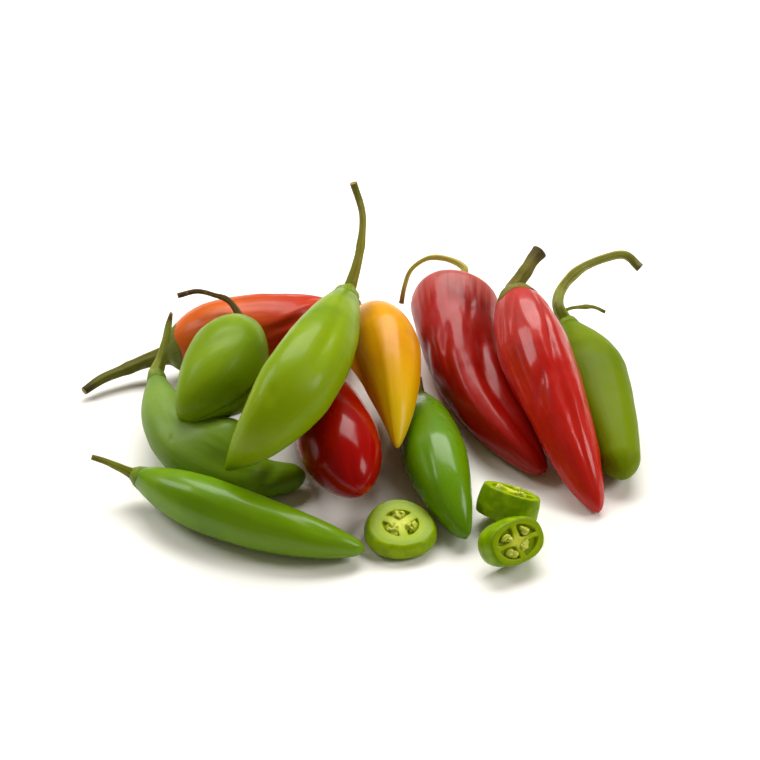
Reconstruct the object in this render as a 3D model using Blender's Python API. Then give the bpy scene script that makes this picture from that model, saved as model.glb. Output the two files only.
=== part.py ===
"""A heap of fresh chilli peppers with three cut slices, in metres, +Z up.

Every chilli is one smooth line with a round outline swept along it. From the crown, the line
runs forwards through the fruit to its tip and backwards through the stalk to its cut end.
The fruit is one solid. The calyx and the stalk are a second one, hollowed where it caps the
fruit, so that the cap fits the shoulders with a small gap all round.
"""
import math
from dataclasses import dataclass

import bmesh
import bpy
from mathutils import Euler, Vector

MM = 0.001
GAP = 0.4                      # room between neighbours, mm
SHARPEST_SMOOTH = 50           # edges that turn more than this stay sharp, degrees
LINE_STEPS = 48                # short straight steps that a curved line is measured in

SIDES = 16                     # faces around a fruit and around its calyx
FRUIT_RINGS = 18               # rings from crown to tip
CROWN_SHARE = 0.3              # radius of the flat crown, as a share of the widest
TIP_DOME = 0.4                 # how far the tip rounds out, as a share of its own radius

CAP_WALL = 0.5                 # thickness of the calyx
ROOT = 2.5                     # straight stretch of stalk behind the crown
STALK_RINGS = 9                # rings from the calyx to the stalk's cut end
NECK_POWER = 3                 # how sharply the stalk widens towards the calyx
FLARE_POWER = 6                # and towards its cut end
SIDE_STALK_RADIUS = 0.65
SIDE_STALK_STEPS = 4           # rings between one stop of the side stalk and the next

SLICE_SIDES = 32               # faces around a slice
LOBE_DEPTH = 0.03              # how far a slice bulges over each chamber, as a share
CHAMBER_BACK = 7               # points along the round back of a chamber
CHAMBER_POINT = 0.4            # how far the point of a chamber stands off the walls' meeting

HEAP_MIDDLE = (-4.90, 12.66)  # middle of the heap's footprint, mm


@dataclass
class Chilli:
    """One pepper. Lengths are in mm and angles in degrees."""
    name: str
    crown: tuple               # where the stalk meets the fruit
    heading: float             # turn of the crown-to-tip line about +Z, from +X
    dip: float                 # how far that line points downwards
    length: float              # crown to tip in a straight line
    pull: tuple                # point that bends the fruit: along, sideways and up from the crown
    radius: float
    belly: float               # where the fruit is widest, as a share of its length
    shoulder: float            # power of the swelling behind the crown: low is square
    taper: tuple               # two powers of the run to the tip: high, then low, is blunt
    tip_share: float           # radius at the tip, as a share of the widest
    ridges: tuple              # number of soft ridges, their depth and their turn
    cap_rings: int             # how many of the fruit's rings the calyx covers
    stalk: list                # way of the stalk, as steps from the crown along X, Y and Z
    stalk_radii: tuple         # where it leaves the calyx, half way, and at its cut end
    side_stalk: list           # way of a second, thin stalk that grows from the calyx, if any
    skin: tuple                # base colour, linear RGB
    stalk_skin: tuple


@dataclass
class Slice:
    """One cut piece: a ring of flesh, with walls between its open chambers."""
    name: str
    centre: tuple
    tilt: float                # how far its axis leans off +Z
    lean: float                # turn of that lean about +Z, from +X
    radius: float
    height: float
    squash: float              # how flat it is pressed across, as a share of round
    chambers: int
    turn: float                # turn of the first chamber about the slice's own axis
    wall: float                # thickness of the outer wall
    septum: float              # thickness of the walls between chambers
    profile: list              # radius at rising heights, as shares of the radius and height


FRESH_STALK = (0.13, 0.17, 0.03)
OLIVE_STALK = (0.16, 0.14, 0.03)

CHILLIES = [
    Chilli("orange", (-75.6, 45.3, 10.2), 13.6, 2.3, 71.6, (33.4, -5.1, 13.5), 14.5, 0.28,
           0.73, (2.54, 0.45), 0.14, (3, 0.03, 20), 3,
           [(-9.5, -0.5, -3.2), (-17.2, -4.0, -4.7), (-24.6, -8.5, -5.6), (-30.4, -14, -7)],
           (3.3, 1.8, 1.4), [], (0.60, 0.10, 0.01), OLIVE_STALK),
    Chilli("small", (-47.9, 34.4, 27.9), -112.4, 6.2, 48.0, (36.3, 10.2, 10.3), 13.1, 0.42,
           0.93, (2.00, 0.80), 0.20, (3, 0.03, 60), 3,
           [(-5.2, 9.5, 5.2), (-11.0, 11.5, 6.8), (-17.0, 12.0, 8.0), (-23.6, 10.0, 7.4)],
           (1.6, 0.8, 1.0), [], (0.15, 0.25, 0.01), OLIVE_STALK),
    Chilli("lime", (-11.5, 38.8, 39.4), -119.1, 16.9, 81.7, (75.4, 30.9, 39.5), 12.3, 0.61,
           1.11, (1.58, 1.15), 0.08, (3, 0.06, 355), 3,
           [(3.3, 5.5, 8.4), (5.0, 8.5, 16.6), (5.4, 11.0, 26.3), (2.4, 12.5, 37.1)],
           (2.4, 1.1, 1.3), [], (0.22, 0.37, 0.01), OLIVE_STALK),
    Chilli("yellow", (-5.5, 52.3, 21.1), -81.5, 2.0, 74.9, (40.3, 6.8, 11.8), 12.9, 0.37,
           0.85, (1.10, 0.83), 0.05, (3, 0.06, 80), 3,
           [(-3, 12, -1.5)],
           (2.2, 1.3, 1.5), [], (0.74, 0.33, 0.01), OLIVE_STALK),
    Chilli("scarlet", (-24.9, 36.5, 5.6), -77.1, -8.7, 84.2, (47.6, -3.5, 9.1), 13.5, 0.67,
           0.68, (1.88, 0.60), 0.05, (3, 0.03, 0), 2,
           [(-6, 3.5, 1.4), (-16, -2, 2), (-24, -11, 1.4), (-30, -21, 0)],
           (2.0, 1.0, 1.2), [], (0.45, 0.01, 0.005), OLIVE_STALK),
    Chilli("hooked", (-78.3, 23.2, 14.6), -39.3, 8.2, 68.0, (48.5, -40.8, 2.3), 9.3, 0.42,
           1.20, (1.40, 0.70), 0.38, (3, 0.04, 40), 2,
           [(1.3, 6.8, 3.6), (3.1, 8.3, 9.6), (4.4, 8.8, 15.6), (5.8, 9.3, 21.1)],
           (2.7, 1.3, 0.6), [], (0.13, 0.26, 0.01), FRESH_STALK),
    Chilli("front", (-79.2, -25.1, 9.1), -22.9, 3.3, 80.4, (45.4, -12.5, 6.2), 9.1, 0.38,
           0.86, (1.99, 0.64), 0.11, (3, 0.03, 0), 2,
           [(-6.5, 0.6, 3.5), (-10.6, 0.6, 5.8), (-14.5, 0.1, 7.8)],
           (1.9, 1.0, 0.9), [], (0.14, 0.27, 0.01), FRESH_STALK),
    Chilli("middle", (14.6, 23.3, 4.5), -80.2, 0.6, 74.1, (52.6, -6.8, 14.1), 10.6, 0.56,
           0.92, (1.57, 0.73), 0.12, (3, 0.03, 50), 2,
           [(-1, 12, 1.5)],
           (2.0, 1.2, 1.4), [], (0.16, 0.32, 0.01), FRESH_STALK),
    Chilli("crimson", (28.6, 79.4, 17.2), -75.1, 7.1, 100.9, (52.5, -21.6, 4.3), 15.8, 0.13,
           1.40, (1.10, 0.53), 0.05, (3, 0.06, 10), 2,
           [(3.4, 6.6, 3.8), (-2.6, 10.6, 5.8), (-10.2, 11.6, 5.7), (-16.6, 10.6, 1.4),
            (-19.2, 8.6, -5.0), (-20.4, 6.6, -11.4)],
           (1.8, 0.8, 1.0), [], (0.33, 0.02, 0.01), OLIVE_STALK),
    Chilli("ruby", (47.9, 47.5, 34.0), -74.1, 20.9, 91.1, (53.6, -5.3, 11.1), 12.5, 0.35,
           0.57, (1.49, 0.60), 0.05, (3, 0.06, 90), 3,
           [(4.4, 8.0, 5.2), (6.7, 11.5, 7.2), (9.4, 14.5, 8.8)],
           (3.0, 2.2, 2.9), [], (0.42, 0.02, 0.01), OLIVE_STALK),
    Chilli("spring", (69.5, 59.7, 12.7), -82.2, 3.7, 81.0, (38.6, 2.3, 3.5), 11.9, 0.42,
           1.37, (1.10, 0.80), 0.48, (3, 0.03, 30), 2,
           [(-3.7, 5.3, 5.6), (-1.9, 11.3, 9.3), (4.8, 15.3, 15.1), (13.8, 16.3, 19.2),
            (21.0, 15.3, 21.1), (26.5, 12.3, 17.3)],
           (2.6, 1.5, 1.7),
           [(-2.5, 4.4, 3), (1.3, 6.2, 3.7), (5.8, 7.2, 3.6), (9.8, 6.3, 4.1), (13.8, 4.3, 3.2)],
           (0.22, 0.33, 0.02), OLIVE_STALK),
]

SLICES = [
    Slice("flat_slice", (6.4, -46.5, 4.3), 6, -60, 11.7, 6.2, 1.0, 3, 40, 4.4, 2.8,
          [(-0.5, 0.90), (-0.2, 1.0), (0.15, 0.99), (0.4, 0.93), (0.5, 0.87)]),
    Slice("front_slice", (40.9, -57.2, 8.5), 54, -58, 10.4, 9, 0.71, 4, 45, 2.4, 1.9,
          [(-0.5, 0.95), (-0.2, 1.0), (0.2, 1.0), (0.4, 0.97), (0.5, 0.93)]),
    Slice("back_slice", (41.5, -38.4, 8.0), 29, 58, 10.4, 9.6, 0.76, 3, 0, 2.4, 1.8,
          [(-0.5, 0.95), (-0.2, 1.0), (0.2, 0.98), (0.5, 0.93)]),
]
SLICE_SKIN = (0.20, 0.38, 0.02)


def clear_scene():
    for thing in list(bpy.data.objects):
        bpy.data.objects.remove(thing, do_unlink=True)


def link(thing):
    bpy.context.collection.objects.link(thing)
    return thing


def principled(name, colour, roughness):
    material = bpy.data.materials.new(name)
    material.use_nodes = True
    shader = material.node_tree.nodes["Principled BSDF"]
    shader.inputs["Base Color"].default_value = (*colour, 1.0)
    shader.inputs["Roughness"].default_value = roughness
    shader.inputs["Metallic"].default_value = 0.0
    return material


def bent(start, pull, end, steps):
    """Points on the curve that leaves towards the pull point and arrives from it."""
    points = []
    for i in range(steps + 1):
        t = i / steps
        points.append((1 - t) ** 2 * start + 2 * t * (1 - t) * pull + t * t * end)
    return points


def through(stops, steps):
    """Points on a smooth curve that passes through every stop (Catmull-Rom)."""
    ends = [2 * stops[0] - stops[1], *stops, 2 * stops[-1] - stops[-2]]
    points = []
    for before, here, there, after in zip(ends, ends[1:], ends[2:], ends[3:]):
        for i in range(steps):
            t = i / steps
            bend = (2 * before - 5 * here + 4 * there - after) * t * t
            twist = (3 * here - before - 3 * there + after) * t ** 3
            points.append((2 * here + (there - before) * t + bend + twist) / 2)
    return points + [stops[-1]]


class Line:
    """A curved line, measured from the crown: the stalk lies behind it, the fruit ahead.

    Each point also has a sideways direction, carried along from the crown without twisting.
    """

    def __init__(self, stalk, fruit, side):
        self.points = stalk[:0:-1] + fruit
        self.crown = crown = len(stalk) - 1
        last = len(self.points) - 1
        self.distance = [0.0] * (last + 1)
        self.forward = [None] * (last + 1)
        self.side = [None] * (last + 1)
        for i in range(last + 1):
            ahead = self.points[min(i + 1, last)]
            behind = self.points[i if i == crown else max(i - 1, 0)]
            self.forward[i] = (ahead - behind).normalized()
        self.side[crown] = self.square(side, crown)
        for i in range(crown, last):
            step = (self.points[i + 1] - self.points[i]).length
            self.distance[i + 1] = self.distance[i] + step
            self.side[i + 1] = self.square(self.side[i], i + 1)
        for i in range(crown, 0, -1):
            step = (self.points[i] - self.points[i - 1]).length
            self.distance[i - 1] = self.distance[i] - step
            self.side[i - 1] = self.square(self.side[i], i - 1)
        self.stalk_end = self.distance[0]
        self.tip = self.distance[-1]

    def square(self, side, i):
        return (side - side.dot(self.forward[i]) * self.forward[i]).normalized()

    def place(self, along, out, angle):
        """The point at a distance from the crown, and out from the line at an angle."""
        if -ROOT < along <= 0:
            forward, side = self.forward[self.crown], self.side[self.crown]
            up = forward.cross(side)
            across = math.cos(angle) * side + math.sin(angle) * up
            return self.points[self.crown] + along * forward + out * across
        i = 0
        while i < len(self.points) - 2 and self.distance[i + 1] < along:
            i += 1
        share = (along - self.distance[i]) / (self.distance[i + 1] - self.distance[i])
        centre = self.points[i].lerp(self.points[i + 1], share)
        blend = min(max(share, 0.0), 1.0)
        forward = self.forward[i].lerp(self.forward[i + 1], blend)
        side = self.side[i].lerp(self.side[i + 1], blend)
        up = forward.cross(side).normalized()
        side = up.cross(forward).normalized()
        return centre + out * (math.cos(angle) * side + math.sin(angle) * up)


def body_radius(chilli, share):
    """Radius of the fruit at a share of its length, before its ridges."""
    if share < chilli.belly:
        rise = 1 - (1 - share / chilli.belly) ** 2
        return chilli.radius * (CROWN_SHARE + (1 - CROWN_SHARE) * rise ** chilli.shoulder)
    power, bluntness = chilli.taper
    fall = (share - chilli.belly) / (1 - chilli.belly)
    fullness = (1 - fall ** power) ** bluntness
    return chilli.radius * (chilli.tip_share + (1 - chilli.tip_share) * fullness)


def ridge(chilli, share, angle):
    """Soft ridges along the fruit, deepest at the belly and gone at both ends."""
    count, depth, turn = chilli.ridges
    strength = depth * math.sin(math.pi * share ** 0.7) ** 0.8
    return 1 + strength * math.cos(count * (angle - math.radians(turn)))


def body_outline(chilli, line, rings):
    """Distances from the crown and radii, ring by ring, closer together at both ends."""
    shares = [(1 - math.cos(math.pi * i / FRUIT_RINGS)) / 2 for i in range(rings + 1)]
    return [(share * line.tip, body_radius(chilli, share)) for share in shares]


def pushed_out(outline, room):
    """The same outline, moved outwards, with its corners kept sharp."""
    points = [Vector((outline[0][0], 0))] + [Vector(point) for point in outline]
    runs = [(b - a).normalized() for a, b in zip(points, points[1:])]
    moved = []
    for point, before, after in zip(points[1:], runs, runs[1:] + runs[-1:]):
        aside = Vector((-before.y - after.y, before.x + after.x))
        moved.append(point + room * aside / (1 + before.dot(after)))
    return moved


def closed_sweep(name, rings, material):
    """A closed solid from rings of points; a ring of one point is a pole."""
    mesh = bmesh.new()
    rows = [[mesh.verts.new(point * MM) for point in ring] for ring in rings]
    for a, b in zip(rows, rows[1:]):
        for i in range(max(len(a), len(b))):
            corners = [a[i % len(a)], a[(i + 1) % len(a)], b[(i + 1) % len(b)], b[i % len(b)]]
            mesh.faces.new(dict.fromkeys(corners))
    data = bpy.data.meshes.new(name)
    mesh.to_mesh(data)
    mesh.free()
    data.shade_smooth()
    data.set_sharp_from_angle(angle=math.radians(SHARPEST_SMOOTH))
    data.materials.append(material)
    return link(bpy.data.objects.new(name, data))


def ring(line, along, out, ridged=None):
    """Points around the line. A ridged ring follows that chilli's own ridges."""
    if out == 0:
        return [line.place(along, 0, 0)]
    points = []
    for i in range(SIDES):
        angle = 2 * math.pi * i / SIDES
        share = min(max(along / line.tip, 0.0), 1.0)
        factor = ridge(ridged, share, angle) if ridged else 1
        points.append(line.place(along, out * factor, angle))
    return points


def build_fruit(chilli, line):
    rings = [ring(line, 0, 0)]
    for along, out in body_outline(chilli, line, FRUIT_RINGS):
        rings.append(ring(line, along, out, chilli))
    rings.append(ring(line, line.tip + TIP_DOME * chilli.tip_share * chilli.radius, 0))
    return closed_sweep(f"{chilli.name}_fruit", rings,
                        principled(f"{chilli.name}_skin", chilli.skin, 0.25))


def build_stalk(chilli, line):
    """The stalk from its cut end, over the outside of the cap to the rim, and back inside."""
    neck, middle, end = chilli.stalk_radii
    rings = [ring(line, line.stalk_end, 0)]
    for i in range(STALK_RINGS + 1):
        share = i / STALK_RINGS
        along = line.stalk_end + share * (-ROOT - line.stalk_end)
        waist = (neck - middle) * share ** NECK_POWER
        flare = (end - middle) * (1 - share) ** FLARE_POWER
        rings.append(ring(line, along, middle + waist + flare))
    shoulders = body_outline(chilli, line, chilli.cap_rings)
    for along, out in pushed_out(shoulders, GAP + CAP_WALL):
        rings.append(ring(line, along, out, chilli))
    for along, out in reversed(pushed_out(shoulders, GAP)):
        rings.append(ring(line, along, out, chilli))
    rings.append(ring(line, -GAP, 0))
    return closed_sweep(f"{chilli.name}_stalk", rings,
                        principled(f"{chilli.name}_stalk_skin", chilli.stalk_skin, 0.6))


def add_side_stalk(stalk, chilli, to_fruit):
    """Joins a thin second stalk on to the calyx, as one solid with it."""
    stops = [to_fruit @ Vector(step) for step in chilli.side_stalk]
    way = Line(stops[:1], through(stops, SIDE_STALK_STEPS), Vector((0, 0, 1)))
    rings = [ring(way, 0, 0)]
    rings += [ring(way, along, SIDE_STALK_RADIUS) for along in way.distance]
    rings.append(ring(way, way.tip, 0))
    branch = closed_sweep(f"{chilli.name}_side_stalk", rings, stalk.data.materials[0])
    branch.hide_render = True
    branch.display_type = "WIRE"
    branch.parent = stalk
    join = stalk.modifiers.new("side stalk", "BOOLEAN")
    join.operation = "UNION"
    join.object = branch


def build_chilli(chilli, heap):
    """An empty at the crown holds the fruit and the stalk. Its +X points at the tip."""
    holder = link(bpy.data.objects.new(f"{chilli.name}_crown", None))
    holder.parent = heap
    holder.location = Vector(chilli.crown) * MM
    turn = Euler((0, math.radians(chilli.dip), math.radians(chilli.heading)))
    holder.rotation_euler = turn
    crown = Vector((0, 0, 0))
    tip = Vector((chilli.length, 0, 0))
    fruit = bent(crown, Vector(chilli.pull), tip, LINE_STEPS)
    back = turn.to_matrix().inverted()
    root = -ROOT * (fruit[1] - crown).normalized()
    stops = [crown, root] + [back @ Vector(step) for step in chilli.stalk]
    way_back = through(stops, LINE_STEPS // len(stops))
    line = Line(way_back, fruit, Vector((0, 1, 0)))
    stalk = build_stalk(chilli, line)
    for solid in (build_fruit(chilli, line), stalk):
        solid.parent = holder
    if chilli.side_stalk:
        add_side_stalk(stalk, chilli, back)


def polar(piece, radius, angle, height):
    """A point of a slice, from its axis, with the slice pressed flat along its own X."""
    return Vector((piece.squash * radius * math.cos(angle), radius * math.sin(angle), height))


def chamber(piece, middle_angle, height):
    """A wedge with a round back: its straight sides leave an even septum on each side."""
    half = math.pi / piece.chambers
    back = piece.radius * piece.profile[-1][1] - piece.wall
    spread = half - math.asin(piece.septum / 2 / back)
    walls_meet = piece.septum / 2 / math.sin(half)
    points = [polar(piece, walls_meet + CHAMBER_POINT, middle_angle, height)]
    for i in range(CHAMBER_BACK):
        share = 2 * i / (CHAMBER_BACK - 1) - 1
        points.append(polar(piece, back, middle_angle + spread * share, height))
    return points


def build_slice(piece, heap):
    """A low lobed drum with its chambers cut right through."""
    first = math.radians(piece.turn)
    angles = [2 * math.pi * i / SLICE_SIDES for i in range(SLICE_SIDES)]
    lobes = [1 + LOBE_DEPTH * math.cos(piece.chambers * (angle - first)) for angle in angles]
    rings = [[polar(piece, 0, 0, piece.profile[0][0] * piece.height)]]
    for level, share in piece.profile:
        rings.append([polar(piece, piece.radius * share * lobe, angle, level * piece.height)
                      for angle, lobe in zip(angles, lobes)])
    rings.append([polar(piece, 0, 0, piece.profile[-1][0] * piece.height)])
    flesh = principled(f"{piece.name}_flesh", SLICE_SKIN, 0.35)
    solid = closed_sweep(piece.name, rings, flesh)
    for i in range(piece.chambers):
        middle = first + 2 * math.pi * i / piece.chambers
        low = chamber(piece, middle, -piece.height)
        high = chamber(piece, middle, piece.height)
        ends = [[sum(low, Vector()) / len(low)], [sum(high, Vector()) / len(high)]]
        cutter = closed_sweep(f"{piece.name}_chamber_{i + 1}", [ends[0], low, high, ends[1]], flesh)
        cutter.hide_render = True
        cutter.display_type = "WIRE"
        cutter.parent = solid
        cut = solid.modifiers.new(f"chamber {i + 1}", "BOOLEAN")
        cut.object = cutter
    solid.location = Vector(piece.centre) * MM
    solid.rotation_euler = (0, math.radians(piece.tilt), math.radians(piece.lean))
    solid.parent = heap


def main():
    clear_scene()
    heap = link(bpy.data.objects.new("heap", None))
    heap.location = (-HEAP_MIDDLE[0] * MM, -HEAP_MIDDLE[1] * MM, 0)
    for chilli in CHILLIES:
        build_chilli(chilli, heap)
    for piece in SLICES:
        build_slice(piece, heap)


main()
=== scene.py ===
# %% [markdown]
# # A heap of chilli peppers
#
# Eleven fresh chillies lie on and against each other, with three cut slices in front of them.
# Every fruit is a hollow berry with a waxy skin, three or four soft ridges, and a calyx that
# caps its shoulders and runs out into a ribbed stalk.
#
# The fruits differ a lot, but one rule makes them all: rings of points are strung along a
# curved line, and the size of each ring comes from a short formula. So this lesson writes the
# rule once, and then feeds it eleven rows of sizes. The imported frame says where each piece
# goes, and each finished mesh stands in for one plain solid of that frame.

# %% Load the frame and keep its box
import itertools
import math
from dataclasses import dataclass
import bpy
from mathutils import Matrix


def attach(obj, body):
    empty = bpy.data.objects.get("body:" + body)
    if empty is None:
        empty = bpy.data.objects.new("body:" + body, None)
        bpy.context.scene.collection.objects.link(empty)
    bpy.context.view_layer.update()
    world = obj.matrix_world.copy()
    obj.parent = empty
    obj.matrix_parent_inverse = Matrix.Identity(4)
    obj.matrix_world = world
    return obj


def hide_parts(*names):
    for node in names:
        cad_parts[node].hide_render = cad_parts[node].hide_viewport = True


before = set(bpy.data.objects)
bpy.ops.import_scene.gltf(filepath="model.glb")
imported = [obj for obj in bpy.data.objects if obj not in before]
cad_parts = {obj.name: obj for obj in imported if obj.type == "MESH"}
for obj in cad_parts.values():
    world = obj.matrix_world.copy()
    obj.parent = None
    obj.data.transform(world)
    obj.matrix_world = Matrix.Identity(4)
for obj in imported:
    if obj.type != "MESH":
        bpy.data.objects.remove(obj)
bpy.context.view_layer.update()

# %% Blender's modules and the units
import bmesh
import bpy
import numpy as np
from mathutils import Euler, Matrix, Vector

MM = 0.001
HEAP_MIDDLE = Vector((-4.90, 12.66, 0))   # the frame's origin, in the heap's own numbers, mm

# %% [markdown]
# ## What a chilli is made of
#
# A grower tells chillies apart by where the fruit is widest, how square its shoulders are, how
# blunt its tip is, and how the stalk leaves it. Those are the numbers in each row below, in
# millimetres and degrees. They could be measured off the solids, but then nobody could read
# why a fruit looks as it does. The row repeats the sizes that the solids were made from, so
# the fine fruit fits the same space, and adds what only shows close up: lumps and wrinkles.

# %% The sizes of a chilli
@dataclass
class Chilli:
    name: str
    crown: tuple               # where the stalk meets the fruit
    heading: float             # turn of the crown-to-tip line about +Z, from +X
    dip: float                 # how far that line points downwards
    length: float              # crown to tip in a straight line
    pull: tuple                # point that bends the fruit: along, sideways and up from the crown
    radius: float
    belly: float               # where the fruit is widest, as a share of its length
    shoulder: float            # power of the swelling behind the crown: low is square
    taper: tuple               # two powers of the run to the tip: high, then low, is blunt
    tip_share: float           # radius at the tip, as a share of the widest
    ridges: tuple              # number of soft ridges, their depth and their turn
    cap_share: float           # how far the calyx reaches, as a share of the fruit
    stalk: list                # way of the stalk, as steps from the crown along X, Y and Z
    stalk_radii: tuple         # where it leaves the calyx, half way, and at its cut end
    lumps: float               # height of the broad unevenness of the skin
    wrinkles: float            # depth of the lengthwise wrinkles
    side_stalk: tuple = ()     # way of a second, thin stalk that grows from the calyx

# %% One row of sizes per chilli
LONG_CAP = 0.067               # how far a calyx reaches over the fruit, as a share of it
SHORT_CAP = 0.030
CHILLIES = [
    Chilli("orange", (-75.6, 45.3, 10.2), 13.6, 2.3, 71.6, (33.4, -5.1, 13.5), 14.5, 0.28,
           0.73, (2.54, 0.45), 0.14, (3, 0.03, 20), LONG_CAP,
           [(-9.5, -0.5, -3.2), (-17.2, -4.0, -4.7), (-24.6, -8.5, -5.6), (-30.4, -14, -7)],
           (3.3, 1.8, 1.4), 0.5, 0.25),
    Chilli("small", (-47.9, 34.4, 27.9), -112.4, 6.2, 48.0, (36.3, 10.2, 10.3), 13.1, 0.42,
           0.93, (2.00, 0.80), 0.20, (3, 0.03, 60), LONG_CAP,
           [(-5.2, 9.5, 5.2), (-11.0, 11.5, 6.8), (-17.0, 12.0, 8.0), (-23.6, 10.0, 7.4)],
           (1.6, 0.8, 1.0), 0.3, 0.05),
    Chilli("lime", (-11.5, 38.8, 39.4), -119.1, 16.9, 81.7, (75.4, 30.9, 39.5), 12.3, 0.61,
           1.11, (1.58, 1.15), 0.08, (3, 0.06, 355), LONG_CAP,
           [(3.3, 5.5, 8.4), (5.0, 8.5, 16.6), (5.4, 11.0, 26.3), (2.4, 12.5, 37.1)],
           (2.4, 1.1, 1.3), 0.3, 0.08),
    Chilli("yellow", (-5.5, 52.3, 21.1), -81.5, 2.0, 74.9, (40.3, 6.8, 11.8), 12.9, 0.37,
           0.85, (1.10, 0.83), 0.05, (3, 0.06, 80), LONG_CAP,
           [(-3, 12, -1.5)],
           (2.2, 1.3, 1.5), 0.2, 0.04),
    Chilli("scarlet", (-24.9, 36.5, 5.6), -77.1, -8.7, 84.2, (47.6, -3.5, 9.1), 13.5, 0.67,
           0.68, (1.88, 0.60), 0.05, (3, 0.03, 0), SHORT_CAP,
           [(-6, 3.5, 1.4), (-16, -2, 2), (-24, -11, 1.4), (-30, -21, 0)],
           (2.0, 1.0, 1.2), 0.3, 0.10),
    Chilli("hooked", (-78.3, 23.2, 14.6), -39.3, 8.2, 68.0, (48.5, -40.8, 2.3), 9.3, 0.42,
           1.20, (1.40, 0.70), 0.38, (3, 0.04, 40), SHORT_CAP,
           [(1.3, 6.8, 3.6), (3.1, 8.3, 9.6), (4.4, 8.8, 15.6), (5.8, 9.3, 21.1)],
           (2.7, 1.3, 0.6), 0.3, 0.10),
    Chilli("front", (-79.2, -25.1, 9.1), -22.9, 3.3, 80.4, (45.4, -12.5, 6.2), 9.1, 0.38,
           0.86, (1.99, 0.64), 0.11, (3, 0.03, 0), SHORT_CAP,
           [(-6.5, 0.6, 3.5), (-10.6, 0.6, 5.8), (-14.5, 0.1, 7.8)],
           (1.9, 1.0, 0.9), 0.2, 0.06),
    Chilli("middle", (14.6, 23.3, 4.5), -80.2, 0.6, 74.1, (52.6, -6.8, 14.1), 10.6, 0.56,
           0.92, (1.57, 0.73), 0.12, (3, 0.03, 50), SHORT_CAP,
           [(-1, 12, 1.5)],
           (2.0, 1.2, 1.4), 0.25, 0.06),
    Chilli("crimson", (28.6, 79.4, 17.2), -75.1, 7.1, 100.9, (52.5, -21.6, 4.3), 15.8, 0.13,
           1.40, (1.10, 0.53), 0.05, (3, 0.06, 10), SHORT_CAP,
           [(3.4, 6.6, 3.8), (-2.6, 10.6, 5.8), (-10.2, 11.6, 5.7), (-16.6, 10.6, 1.4),
            (-19.2, 8.6, -5.0), (-20.4, 6.6, -11.4)],
           (1.8, 0.8, 1.0), 0.6, 0.28),
    Chilli("ruby", (47.9, 47.5, 34.0), -74.1, 20.9, 91.1, (53.6, -5.3, 11.1), 12.5, 0.35,
           0.57, (1.49, 0.60), 0.05, (3, 0.06, 90), LONG_CAP,
           [(4.4, 8.0, 5.2), (6.7, 11.5, 7.2), (9.4, 14.5, 8.8)],
           (3.0, 2.2, 2.9), 0.6, 0.40),
    Chilli("spring", (69.5, 59.7, 12.7), -82.2, 3.7, 81.0, (38.6, 2.3, 3.5), 11.9, 0.42,
           1.37, (1.10, 0.80), 0.48, (3, 0.03, 30), SHORT_CAP,
           [(-3.7, 5.3, 5.6), (-1.9, 11.3, 9.3), (4.8, 15.3, 15.1), (13.8, 16.3, 19.2),
            (21.0, 15.3, 21.1), (26.5, 12.3, 17.3)],
           (2.6, 1.5, 1.7), 0.3, 0.06,
           ((-2.5, 4.4, 3), (1.3, 6.2, 3.7), (5.8, 7.2, 3.6), (9.8, 6.3, 4.1), (13.8, 4.3, 3.2))),
]
print(len(CHILLIES), "chillies, the longest", max(row.length for row in CHILLIES), "mm")

# %% [markdown]
# ## The line that a chilli grows along
#
# A bent fruit and its stalk are one line: the stalk runs backwards from the crown, the fruit
# forwards. Blender's own curves could carry it, but they turn their rings as they please, and
# then the ridges and the calyx teeth would wander. Here each point of the line keeps a
# sideways direction, handed on from the crown without twisting.

# %% Two kinds of smooth curve
def bent(start, pull, end, steps):
    """Points on the curve that leaves towards the pull point and arrives from it."""
    points = []
    for i in range(steps + 1):
        t = i / steps
        points.append((1 - t) ** 2 * start + 2 * t * (1 - t) * pull + t * t * end)
    return points


def through(stops, steps):
    """Points on a smooth curve that passes through every stop (Catmull-Rom)."""
    ends = [2 * stops[0] - stops[1], *stops, 2 * stops[-1] - stops[-2]]
    points = []
    for before, here, there, after in zip(ends, ends[1:], ends[2:], ends[3:]):
        for i in range(steps):
            t = i / steps
            bend = (2 * before - 5 * here + 4 * there - after) * t * t
            twist = (3 * here - before - 3 * there + after) * t ** 3
            points.append((2 * here + (there - before) * t + bend + twist) / 2)
    return points + [stops[-1]]

# %% The line, measured from the crown
ROOT = 2.5                     # straight stretch of stalk behind the crown, mm
LINE_STEPS = 240


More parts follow.
